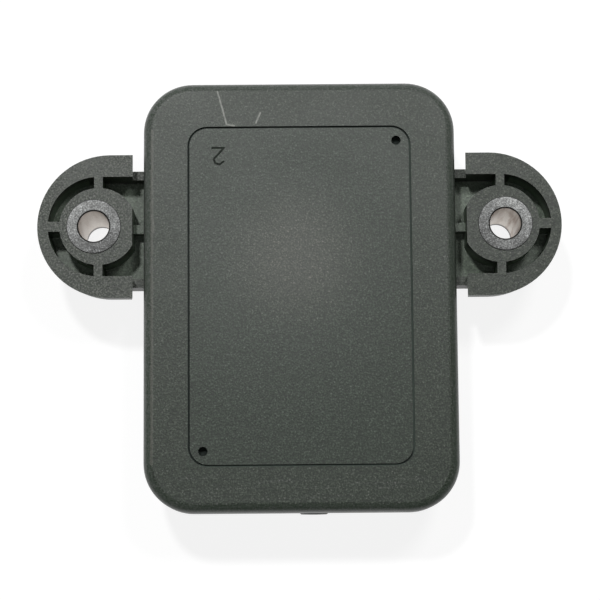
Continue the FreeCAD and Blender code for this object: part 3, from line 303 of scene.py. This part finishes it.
# Places on the face are in millimetres, across and along from its middle.
FACE_SCRATCHES = [((-16.9, 42.7), (-15.0, 35.7)),
                  ((-15.0, 35.7), (-13.4, 35.4)),
                  ((-8.0, 38.1), (-8.9, 36.0))]
# The second faint line, along the left border, is a painted highlight.
FAINT_SCRATCH_AND_HIGHLIGHT_LINES = [((-30.7, 19.3), (-30.2, 13.2)),
                   ((-30.5, 34.5), (-30.55, -34.5))]
# The middle of a painted highlight, over a glossier patch.
HIGHLIGHT_AND_POLISH_PATCH = (-1.0, 8.0)
HANDLED_PATCH = (-5.0, 0.0)
CAVITY_DIGIT_PLACE = (-16.8, 29.05)
CAVITY_DIGIT = [((-1.2, 1.7), (1.2, 1.7)),
                ((1.2, 1.7), (-0.9, -0.7)),
                ((-0.9, -0.7), (-0.6, -1.5)),
                ((-0.6, -1.5), (0.3, -1.8)),
                ((0.3, -1.8), (1.1, -1.2))]

# The outer edge of the line round the panel, across and along.
PANEL_REACH = (23.45 * MM, 35.55 * MM)

COVER_ROUGH = 0.42
PANEL_COLOUR = (0.0136, 0.0259, 0.0136, 1)
BORDER_COLOUR = (0.016, 0.0274, 0.0149, 1)
# Painted shade in the panel's line and pits, and a paler painted shade along their lower and right sides,
# which face the light.
PAINTED_DEEP_SHADE = (0.018, 0.024, 0.021, 1)
PAINTED_PALE_SHADE = (0.052, 0.068, 0.058, 1)
# A painted highlight in the middle of the face.
PAINTED_HIGHLIGHT_COLOUR = (0.12, 0.105, 0.07, 1)
STREAK_COLOUR = (0.12, 0.13, 0.12, 1)
# A painted highlight on the rounded edges.
PAINTED_EDGE_HIGHLIGHT = (0.086, 0.101, 0.086, 1)
COVER_WEAR = (0.12, 0.13, 0.11, 1)
FAINT_SCRATCH_AND_HIGHLIGHT_COLOUR = (0.14, 0.14, 0.12, 1)
SCRATCH_COLOUR = (0.33, 0.34, 0.31, 1)
DIGIT_SHADOW = (0.002, 0.003, 0.002, 1)


def on_face(across, along):
    """A point on the cover's face, from millimetres."""
    return (across * MM, along * MM, FACE_LEVEL)


def join_lines(tree, lines, width, unevenness):
    """One mask of several scored lines, each given by its ends in millimetres."""
    mask = None
    for start, end in lines:
        line = effect(tree, "scored_line", From=on_face(*start), To=on_face(*end),
                      Width=width, Unevenness=unevenness)["Line"]
        mask = line if mask is None else calculate(tree, "MAXIMUM", mask, line)
    return mask


def cover_scratches(tree):
    """Masks of the bright scratches and of the faint lines, which are a scratch and a painted highlight
    along the left border, both broken up along their way.
    """
    bright = join_lines(tree, FACE_SCRATCHES, 0.34 * MM, 0.1 * MM)
    faint = join_lines(tree, FAINT_SCRATCH_AND_HIGHLIGHT_LINES, 0.62 * MM, 0.25 * MM)
    broken = rescale(tree, noise(tree, 0.6 * MM, detail=3.0), 0.3, 0.55, 0.45, 1.0)
    return multiply(tree, bright, broken), multiply(tree, faint, broken)


def cavity_digit(tree):
    """A mask of the digit that tells the tool's cavity."""
    across, along = CAVITY_DIGIT_PLACE
    strokes = [[(across + x, along + y) for x, y in stroke] for stroke in CAVITY_DIGIT]
    return multiply(tree, join_lines(tree, strokes, 0.34 * MM, 0.02 * MM), 0.75)


def inside_panel(tree):
    """One within the outer edge of the line round the panel, nought on the border outside it."""
    place = split_place(tree)
    inside = []
    for axis, reach in zip("XY", PANEL_REACH):
        inside.append(calculate(tree, "LESS_THAN", calculate(tree, "ABSOLUTE", place[axis]), reach))
    return multiply(tree, *inside)


def painted_line_shade(tree):
    """Painted shade down in the panel's line and pits, paler along the lower and right sides, which face
    the light.
    """
    place = split_place(tree)
    lower_side = rescale(tree, place["Y"], -34.6 * MM, -35.0 * MM)
    right_side = rescale(tree, place["X"], 22.5 * MM, 22.9 * MM)
    return lay_over(tree, PAINTED_DEEP_SHADE, calculate(tree, "MAXIMUM", lower_side, right_side), PAINTED_PALE_SHADE)


def face_patch(tree, middle, core, reach):
    """A round patch on the face, whole in its core and gone at its reach."""
    from_middle = vector_value(tree, "DISTANCE", place_on_part(tree), on_face(*middle))
    return rescale(tree, from_middle, core, reach, 1.0, 0.0, smooth=True)


def rounded_edges(tree):
    """One on the cover's rounded edges, nought on its face and on its upright skirt."""
    rise = surface_rise(tree)
    off_skirt = rescale(tree, rise, 0.05, 0.35)
    off_face = rescale(tree, rise, 0.93, 0.995, 1.0, 0.0)
    return multiply(tree, off_skirt, off_face)


def border_streaks(tree):
    """Fine marks on the border below the panel, drawn out from side to side."""
    drawn_out = vector_result(tree, "MULTIPLY", place_on_part(tree), (0.05, 1.0, 1.0))
    streaks = rescale(tree, noise(tree, 0.7 * MM, place=drawn_out), 0.5, 0.75)
    low_border = rescale(tree, split_place(tree)["Y"], -36 * MM, -38 * MM)
    return multiply(tree, streaks, low_border)


def make_cover_plastic():
    """The cover's matt moulding, with scratches, dust, a digit cut into the tool, a glossier patch,
    painted highlights on its face, rounded edges and left border, and painted shade in the panel's line
    and pits.
    """
    material, tree, shader = start_finish("cover_plastic", Specular_IOR_Level=PLASTIC_GLOSS,
                                          Coat_Roughness=0.4)
    grain = effect(tree, "moulded_grain", Size=PLASTIC_GRAIN)
    haze = effect(tree, "handling_haze", Size=13 * MM)["Haze"]
    wear = effect(tree, "worn_edge", Width=0.22 * MM, Break_Size=1.3 * MM)["Wear"]
    dust = effect(tree, "specks", Spacing=3.4 * MM, Radius=0.13 * MM)["Specks"]
    below_face = effect(tree, "sunken", Level=FACE_LEVEL - 0.05 * MM, Fade=0.05 * MM)["Sunken"]
    scratch, faint = cover_scratches(tree)
    digit = cavity_digit(tree)
    inside = inside_panel(tree)
    recess = multiply(tree, below_face, inside)
    # A painted highlight in the middle of the face, where the coat is also glossier.
    highlight_and_polish = face_patch(tree, HIGHLIGHT_AND_POLISH_PATCH, 2 * MM, 19 * MM)
    handled = face_patch(tree, HANDLED_PATCH, 5 * MM, 30 * MM)
    rounded = rounded_edges(tree)
    place = split_place(tree)
    # A painted highlight on the rounded edges, stronger towards the upper left, where the light falls.
    to_upper_left = calculate(tree, "SUBTRACT", place["Y"], place["X"])
    painted_edge_highlight = multiply(tree, rounded, rescale(tree, to_upper_left, -25 * MM, 25 * MM, 0.4, 1.0))

    # The painted highlights on the face and rounded edges and the streaks lie under the grain's tones, and
    # dust, wear, scratches, the painted highlight line, the digit's painted shadow and the painted shade
    # in the line and pits over them.
    colour = lay_over(tree, BORDER_COLOUR, inside, PANEL_COLOUR)
    colour = lay_over(tree, colour, highlight_and_polish, PAINTED_HIGHLIGHT_COLOUR, share=0.09)
    colour = lay_over(tree, colour, border_streaks(tree), STREAK_COLOUR, share=0.12)
    colour = lay_over(tree, colour, painted_edge_highlight, PAINTED_EDGE_HIGHLIGHT)
    tone = multiply(tree, grain_tone(tree, grain, 6.5), rescale(tree, haze, 0.0, 1.0, 0.97, 1.03))
    tone = calculate(tree, "POWER", tone, rescale(tree, rounded, 0.0, 1.0, 1.0, 0.4))
    colour = shade_grain(tree, colour, tone)
    colour = lay_over(tree, colour, dust, DUST, share=0.4)
    colour = lay_over(tree, colour, wear, COVER_WEAR, share=0.35)
    # The faint scratch and the painted highlight along the left border.
    colour = lay_over(tree, colour, faint, FAINT_SCRATCH_AND_HIGHLIGHT_COLOUR, share=0.5)
    colour = lay_over(tree, colour, scratch, SCRATCH_COLOUR, share=0.7)
    colour = lay_over(tree, colour, digit, DIGIT_SHADOW, share=0.95)
    # Painted shade in the panel's line and pits.
    colour = lay_over(tree, colour, recess, painted_line_shade(tree))

    rough = rescale(tree, haze, 0.0, 1.0, COVER_ROUGH - 0.015, COVER_ROUGH + 0.015)
    rough = calculate(tree, "MAXIMUM", rough, calculate(tree, "MAXIMUM", recess, digit))
    polish = calculate(tree, "MULTIPLY_ADD", handled, 0.12, multiply(tree, highlight_and_polish, 0.17))
    polish = calculate(tree, "MULTIPLY_ADD", rounded, 0.4, polish)
    height = calculate(tree, "SUBTRACT", grain["Height"], multiply(tree, digit, 1.5))
    feed_shader(tree, shader, Base_Color=colour, Roughness=rough, Coat_Weight=polish,
                Normal=raise_surface(tree, height, 0.05 * MM))
    return material


# The rear housing

# How far the pockets reach from a sleeve's axis, and how high their floor lies over the rear plane.
POCKET_REACH, POCKET_FLOOR = 10.3 * MM, 13.5 * MM
# Painted light fills the pockets below this level, fading in over this height.
PAINTED_POCKET_LIGHT_TOP, PAINTED_POCKET_LIGHT_FADE = 20.8 * MM, 4.0 * MM

# The ears begin this far across from the middle.
BOX_SIDE = 31.2 * MM

HOUSING_COLOUR = (0.016, 0.0258, 0.014)
HOUSING_WEAR = (0.14, 0.15, 0.13, 1)
GRIT = (0.185, 0.19, 0.172, 1)
# Painted light: a paler colour that lifts the shaded pockets.
PAINTED_POCKET_LIGHT = (0.13, 0.175, 0.125)


def inside_ear(tree):
    """One in the pockets of the ears and their necks: within the U's wall and above the web."""
    place = split_place(tree)
    across = calculate(tree, "ABSOLUTE", place["X"])
    past_axis = calculate(tree, "MAXIMUM", calculate(tree, "SUBTRACT", across, SLEEVE_ACROSS), 0.0)
    off_axis = calculate(tree, "SUBTRACT", place["Y"], SLEEVE_ALONG)
    from_middle = vector_value(tree, "LENGTH", join_vector(tree, X=past_axis, Y=off_axis))
    within = calculate(tree, "LESS_THAN", from_middle, POCKET_REACH)
    clear_of_box = calculate(tree, "GREATER_THAN", across, BOX_SIDE)
    above_web = calculate(tree, "GREATER_THAN", place["Z"], POCKET_FLOOR - 0.5 * MM)
    return multiply(tree, within, clear_of_box, above_web)


def make_housing_plastic():
    """The same resin on the housing, with nicked edges, grit on the left ear and painted light in the
    pockets.
    """
    material, tree, shader = start_finish("housing_plastic", Specular_IOR_Level=PLASTIC_GLOSS)
    grain = effect(tree, "moulded_grain", Size=PLASTIC_GRAIN)
    haze = effect(tree, "handling_haze", Size=8 * MM)["Haze"]
    wear = effect(tree, "worn_edge", Width=0.2 * MM, Break_Size=0.8 * MM)["Wear"]
    nicks = effect(tree, "specks", Spacing=3.1 * MM, Radius=0.16 * MM)["Specks"]
    deep = effect(tree, "sunken", Level=PAINTED_POCKET_LIGHT_TOP, Fade=PAINTED_POCKET_LIGHT_FADE)["Sunken"]
    grit = rescale(tree, noise(tree, 0.38 * MM, detail=3.0), 0.5, 0.66)
    on_left = rescale(tree, split_place(tree)["X"], -20 * MM, 20 * MM, 1.0, 0.12)
    grit = multiply(tree, grit, on_left, rescale(tree, haze, 0.0, 1.0, 0.4, 1.0))
    # Painted light in the pockets of the ears, stronger on their walls.
    more_on_walls = rescale(tree, surface_rise(tree), 0.1, 0.7, 1.0, 0.5)
    painted_pocket_light = multiply(tree, deep, more_on_walls, inside_ear(tree))

    tone = multiply(tree, grain_tone(tree, grain, 8.0), rescale(tree, haze, 0.0, 1.0, 0.9, 1.1))
    colour = shade_grain(tree, HOUSING_COLOUR, tone)
    colour = lay_over(tree, colour, grit, GRIT, share=0.8)
    # Painted light in the ears' pockets.
    colour = lay_over(tree, colour, painted_pocket_light, shade_tone(tree, PAINTED_POCKET_LIGHT, grain_tone(tree, grain, 1.8)))
    colour = lay_over(tree, colour, nicks, DUST, share=0.4)
    colour = lay_over(tree, colour, wear, HOUSING_WEAR, share=0.4)
    feed_shader(tree, shader, Base_Color=colour, Roughness=rescale(tree, haze, 0.0, 1.0, 0.4, 0.46),
                Normal=raise_surface(tree, grain["Height"], 0.08 * MM))
    return material


# The steel sleeves

BORE_RADIUS = 3.2 * MM
STEEL_FACE = (0.121, 0.123, 0.121)
STEEL_FLECK = (0.4, 0.42, 0.43, 1)
RIM_SHADOW = (0.02, 0.02, 0.02, 1)
DRAWN_BORE = (0.65, 0.6, 0.545)
TARNISH = (0.3, 0.2, 0.14, 1)
# Painted shade at the bore's far end.
PAINTED_FAR_SHADE = (0.05, 0.045, 0.04, 1)


def sleeve_face(tree, grain, mirrored, from_axis):
    """The mottled end face, with painted shade at its two rims, and painted light and shade that make it
    lighter on the upper outer side and darker on the lower side towards the box.
    """
    coarse = effect(tree, "moulded_grain", Size=1.3 * MM)
    haze = effect(tree, "handling_haze", Size=5 * MM)["Haze"]
    flecks = rescale(tree, noise(tree, 0.3 * MM), 0.6, 0.7)
    outer_rim = rescale(tree, from_axis, 5.48 * MM, 5.6 * MM)
    past_bore = rescale(tree, from_axis, BORE_RADIUS + 0.04 * MM, BORE_RADIUS + 0.1 * MM)
    near_bore = rescale(tree, from_axis, BORE_RADIUS + 0.22 * MM, BORE_RADIUS + 0.35 * MM, 1.0, 0.0)
    rims = calculate(tree, "MAXIMUM", outer_rim, multiply(tree, past_bore, near_bore))
    # Painted light and shade: the face is lighter on its upper outer side and darker on the lower side
    # towards the box.
    inner_low = vector_value(tree, "DOT_PRODUCT", mirrored, (-0.5, -0.87, 0.0))
    middle = SLEEVE_ACROSS * -0.5 - SLEEVE_ALONG * 0.87
    painted_light_and_shade = rescale(tree, inner_low, middle - 5 * MM, middle + 5 * MM, 1.33, 0.65)

    mottle = multiply(tree, grain_tone(tree, grain, 3.2), grain_tone(tree, coarse, 1.4))
    face = shade_tone(tree, STEEL_FACE, mottle)
    face = shade_tone(tree, face, multiply(tree, painted_light_and_shade, rescale(tree, haze, 0.0, 1.0, 0.85, 1.2)))
    face = lay_over(tree, face, flecks, STEEL_FLECK, share=0.35)
    return lay_over(tree, face, rims, RIM_SHADOW)


def sleeve_bore(tree, grain, place):
    """The bright drawn bore, with streaks of tarnish and a painted shade ring at its far end."""
    drawn = vector_result(tree, "MULTIPLY", place_on_part(tree), (1.0, 1.0, 0.12))
    tarnish = rescale(tree, noise(tree, 1.2 * MM, detail=3.0, place=drawn), 0.45, 0.7)
    right_side = rescale(tree, place["X"], SLEEVE_ACROSS - 1 * MM, SLEEVE_ACROSS + 2 * MM, 0.35, 1.3)
    # Painted shade: a dark band inside the bore at its far end.
    painted_far_shade = rescale(tree, place["Z"], 1.2 * MM, 2.2 * MM, 0.95, 0.0)

    bright = shade_tone(tree, DRAWN_BORE, grain_tone(tree, grain, 1.2))
    bright = lay_over(tree, bright, multiply(tree, tarnish, right_side), TARNISH, share=0.75)
    return lay_over(tree, bright, painted_far_shade, PAINTED_FAR_SHADE)


def make_sleeve_steel():
    """Cut and tumbled steel: a matt end face and a smoother drawn bore."""
    material, tree, shader = start_finish("sleeve_steel", Metallic=1.0)
    grain = effect(tree, "moulded_grain", Size=0.3 * MM)
    place = split_place(tree)
    mirrored = join_vector(tree, X=calculate(tree, "ABSOLUTE", place["X"]), Y=place["Y"])
    from_axis = vector_value(tree, "DISTANCE", mirrored, (SLEEVE_ACROSS, SLEEVE_ALONG, 0))
    in_bore = rescale(tree, from_axis, BORE_RADIUS, BORE_RADIUS + 0.1 * MM, 1.0, 0.0)

    face = sleeve_face(tree, grain, mirrored, from_axis)
    colour = lay_over(tree, face, in_bore, sleeve_bore(tree, grain, place))
    face_rough = calculate(tree, "MULTIPLY_ADD", grain["Tone"], 0.1, 0.5)
    grain_depth = lay_value(tree, 0.08 * MM, in_bore, 0.01 * MM)
    feed_shader(tree, shader, Base_Color=colour, Roughness=lay_value(tree, face_rough, in_bore, 0.42),
                Normal=raise_surface(tree, grain["Height"], grain_depth))
    return material


# The pieces inside

TIN = (0.72, 0.71, 0.68, 1)
CHIP_BLOCK_LENGTH = 3.9 * MM


def make_plain_finish(name, colour, grain_size, grain_depth, rough, tone_change=0.12, edge_colour=None,
                      **plain):
    """A one-colour finish with grain, a change of gloss and, if a colour is given, worn edges."""
    material, tree, shader = start_finish(name, **plain)
    grain = effect(tree, "moulded_grain", Size=grain_size)
    haze = effect(tree, "handling_haze", Size=12 * grain_size)["Haze"]
    tone = calculate(tree, "MULTIPLY_ADD", grain["Tone"], tone_change, 1.0)
    shaded = shade_tone(tree, colour, tone)
    if edge_colour:
        wear = effect(tree, "worn_edge", Width=0.08 * MM, Break_Size=0.5 * MM)["Wear"]
        shaded = lay_over(tree, shaded, wear, edge_colour, share=0.5)
    feed_shader(tree, shader, Base_Color=shaded,
                Roughness=rescale(tree, haze, 0.0, 1.0, rough - 0.05, rough + 0.06),
                Normal=raise_surface(tree, grain["Height"], grain_depth))
    return material


def make_board_laminate():
    """Green lacquer over glass cloth."""
    material, tree, shader = start_finish("board_laminate", Coat_Weight=0.3, Coat_Roughness=0.2)
    grain = effect(tree, "moulded_grain", Size=0.5 * MM)
    threads = {"Vector": place_on_part(tree), "Scale": 1 / (8 * MM), "Distortion": 0.6}
    cloth = []
    for axis in "XY":
        wave = add_node(tree, "ShaderNodeTexWave", threads, bands_direction=axis)
        cloth.append(wave.outputs["Fac"])
    weave = multiply(tree, *cloth)
    tone = calculate(tree, "MULTIPLY_ADD", grain["Tone"], 0.1, 1.0)
    colour = shade_tone(tree, (0.012, 0.085, 0.035), tone)
    colour = lay_over(tree, colour, weave, (0.03, 0.14, 0.06, 1), share=0.35)
    feed_shader(tree, shader, Base_Color=colour, Roughness=rescale(tree, weave, 0.0, 1.0, 0.3, 0.42),
                Normal=raise_surface(tree, weave, 0.02 * MM))
    return material


def make_tinned_finish(name, colour, axis, bare_half, rough, tin=(0.56, 0.56, 0.54, 1), tin_rough=0.32,
                       grain_size=0.15 * MM, grain_depth=0.01 * MM, tone_change=0.12):
    """A bare body between tinned ends. Half the body is a share of the whole length along the axis."""
    material, tree, shader = start_finish(name)
    grain = effect(tree, "moulded_grain", Size=grain_size)
    from_middle = calculate(tree, "ABSOLUTE", calculate(tree, "SUBTRACT", share_of_box(tree)[axis], 0.5))
    tinned = rescale(tree, from_middle, bare_half, bare_half + 0.005)
    tone = calculate(tree, "MULTIPLY_ADD", grain["Tone"], tone_change, 1.0)
    shaded = lay_over(tree, shade_tone(tree, colour, tone), tinned, tin)
    feed_shader(tree, shader, Base_Color=shaded, Metallic=tinned,
                Roughness=rescale(tree, tinned, 0.0, 1.0, rough, tin_rough),
                Normal=raise_surface(tree, grain["Height"], grain_depth))
    return material


def make_chip_epoxy():
    """Black moulding compound on tinned feet, which lie outside the block's middle band."""
    low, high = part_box("amplifier_chip")
    bare_half = CHIP_BLOCK_LENGTH / (high.y - low.y) / 2
    return make_tinned_finish("chip_epoxy", (0.018, 0.018, 0.019), "Y", bare_half, 0.55,
                              tin=(0.6, 0.6, 0.58, 1), tin_rough=0.3,
                              grain_size=0.12 * MM, grain_depth=0.012 * MM, tone_change=0.15)


def make_finishes():
    """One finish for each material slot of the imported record."""
    return {
        "cover_plastic": make_cover_plastic(),
        "housing_plastic": make_housing_plastic(),
        "sleeve_steel": make_sleeve_steel(),
        "sealant": make_plain_finish("sealant", (0.03, 0.03, 0.032), 1.2 * MM, 0.06 * MM, 0.35),
        "seal_rubber": make_plain_finish("seal_rubber", (0.014, 0.014, 0.015), 0.2 * MM, 0.01 * MM, 0.6),
        "sintered_bronze": make_plain_finish("sintered_bronze", (0.42, 0.27, 0.12), 0.18 * MM, 0.07 * MM,
                                             0.5, tone_change=0.35, Metallic=1.0),
        "terminal_metal": make_plain_finish("terminal_metal", (0.6, 0.59, 0.56), 0.3 * MM, 0.008 * MM, 0.3,
                                            tone_change=0.07, edge_colour=TIN, Metallic=1.0),
        "cell_plastic": make_plain_finish("cell_plastic", (0.02, 0.02, 0.022), 0.2 * MM, 0.015 * MM, 0.5,
                                          edge_colour=(0.1, 0.1, 0.1, 1)),
        "lid_metal": make_plain_finish("lid_metal", (0.5, 0.5, 0.49), 0.25 * MM, 0.01 * MM, 0.35,
                                       tone_change=0.08, edge_colour=TIN, Metallic=1.0),
        "cell_glass": make_plain_finish("cell_glass", (0.75, 0.8, 0.8), 0.6 * MM, 0.004 * MM, 0.12,
                                        tone_change=0.03, Transmission_Weight=0.8, IOR=1.47),
        "silicon": make_plain_finish("silicon", (0.16, 0.17, 0.2), 0.25 * MM, 0.002 * MM, 0.18,
                                     tone_change=0.05, Metallic=0.9),
        "board_laminate": make_board_laminate(),
        "screw_steel": make_plain_finish("screw_steel", (0.5, 0.49, 0.45), 0.35 * MM, 0.02 * MM, 0.32,
                                         tone_change=0.1, edge_colour=TIN, Metallic=1.0),
        "chip_epoxy": make_chip_epoxy(),
        "tantalum_resin": make_tinned_finish("tantalum_resin", (0.55, 0.36, 0.06), "X", 0.4265, 0.45),
        "ceramic": make_tinned_finish("ceramic", (0.34, 0.25, 0.16), "X", 0.339, 0.4),
        "resistor_glaze": make_tinned_finish("resistor_glaze", (0.015, 0.015, 0.016), "X", 0.339, 0.25),
    }


def finish_solids():
    """Puts each solid's finish into its material slots."""
    finishes = make_finishes()
    for subpart in frame["record"]["subparts"]:
        solid = frame["nodes"][subpart["node"]]
        solid.data.materials.clear()
        solid.data.materials.append(finishes[subpart["material_slot"]])


# Floor, lamps and camera

FLOOR_HALF = 4.0
FLOOR_GAP = 0.1 * MM
FLOOR_GLOW = 0.86
TENT_SIDE, TENT_TOP = 0.5, 0.84

LAMP_TARGET = (0, 0, 0.01)
CAMERA_PLACE = (-2.47 * MM, -57.47 * MM, FACE_LEVEL + 424.29 * MM)
CAMERA_TURN = (7.557, -0.32, -0.449)
CAMERA_LENS, CAMERA_SENSOR = 125.08, 36.0


def seen_directly(tree):
    """One where the eye looks, also by a reflection or through glass, and nought for the light cast."""
    path = add_node(tree, "ShaderNodeLightPath").outputs
    reflected = calculate(tree, "MAXIMUM", path["Is Glossy Ray"], path["Is Transmission Ray"])
    return calculate(tree, "MAXIMUM", path["Is Camera Ray"], reflected)


def make_floor():
    """A wide floor just under the sensor, a little brighter to the eye than its light alone makes it."""
    level = solid_box[0].z - FLOOR_GAP
    corners = [(-FLOOR_HALF, -FLOOR_HALF, level), (FLOOR_HALF, -FLOOR_HALF, level),
               (FLOOR_HALF, FLOOR_HALF, level), (-FLOOR_HALF, FLOOR_HALF, level)]
    mesh = bpy.data.meshes.new("floor")
    mesh.from_pydata(corners, [], [(0, 1, 2, 3)])
    floor = bpy.data.objects.new("floor", mesh)
    bpy.context.scene.collection.objects.link(floor)
    material, tree, shader = start_finish("white_floor", Base_Color=(0.25, 0.25, 0.25, 1), Roughness=0.9,
                                          Specular_IOR_Level=0.1, Emission_Color=(1, 1, 1, 1))
    feed_shader(tree, shader, Emission_Strength=multiply(tree, seen_directly(tree), FLOOR_GLOW))
    mesh.materials.append(material)


def make_lamp(name, place, size, watts):
    """A round soft lamp that looks at the middle of the sensor."""
    data = bpy.data.lights.new(name, "AREA")
    data.shape = "DISK"
    data.size = size
    data.energy = watts
    lamp = bpy.data.objects.new(name, data)
    lamp.location = place
    lamp.rotation_euler = (Vector(LAMP_TARGET) - Vector(place)).to_track_quat("-Z", "Y").to_euler()
    bpy.context.scene.collection.objects.link(lamp)


def make_world():
    """A studio tent: bright overhead, dim at the sides, and plain white to the eye and in reflections."""
    world = bpy.data.worlds.new("studio")
    world.use_nodes = True
    tree = world.node_tree
    tent = rescale(tree, share_of_box(tree)["Z"], 0.45, 1.0, TENT_SIDE, TENT_TOP, smooth=True)
    strength = lay_value(tree, tent, seen_directly(tree), 1.0)
    tree.links.new(strength, tree.nodes["Background"].inputs["Strength"])
    bpy.context.scene.world = world


def make_camera():
    """Close to straight down on the cover, from a little below its middle."""
    data = bpy.data.cameras.new("camera")
    data.sensor_width = CAMERA_SENSOR
    data.lens = CAMERA_LENS
    data.clip_start = 0.01
    data.clip_end = 20.0
    camera = bpy.data.objects.new("camera", data)
    camera.location = CAMERA_PLACE
    camera.rotation_mode = "ZYX"
    camera.rotation_euler = [math.radians(turn) for turn in CAMERA_TURN]
    bpy.context.scene.collection.objects.link(camera)
    bpy.context.scene.camera = camera


finish_solids()
make_floor()
make_lamp("left_lamp", (-0.21, 0.42, 1.11), size=0.1, watts=6.3)
make_lamp("right_lamp", (0.2, 0.28, 0.74), size=0.16, watts=1.85)
make_lamp("camera_lamp", (-0.02, -0.2, 0.95), size=0.3, watts=0.6)
make_world()
make_camera()
bpy.context.scene.view_settings.view_transform = "Standard"
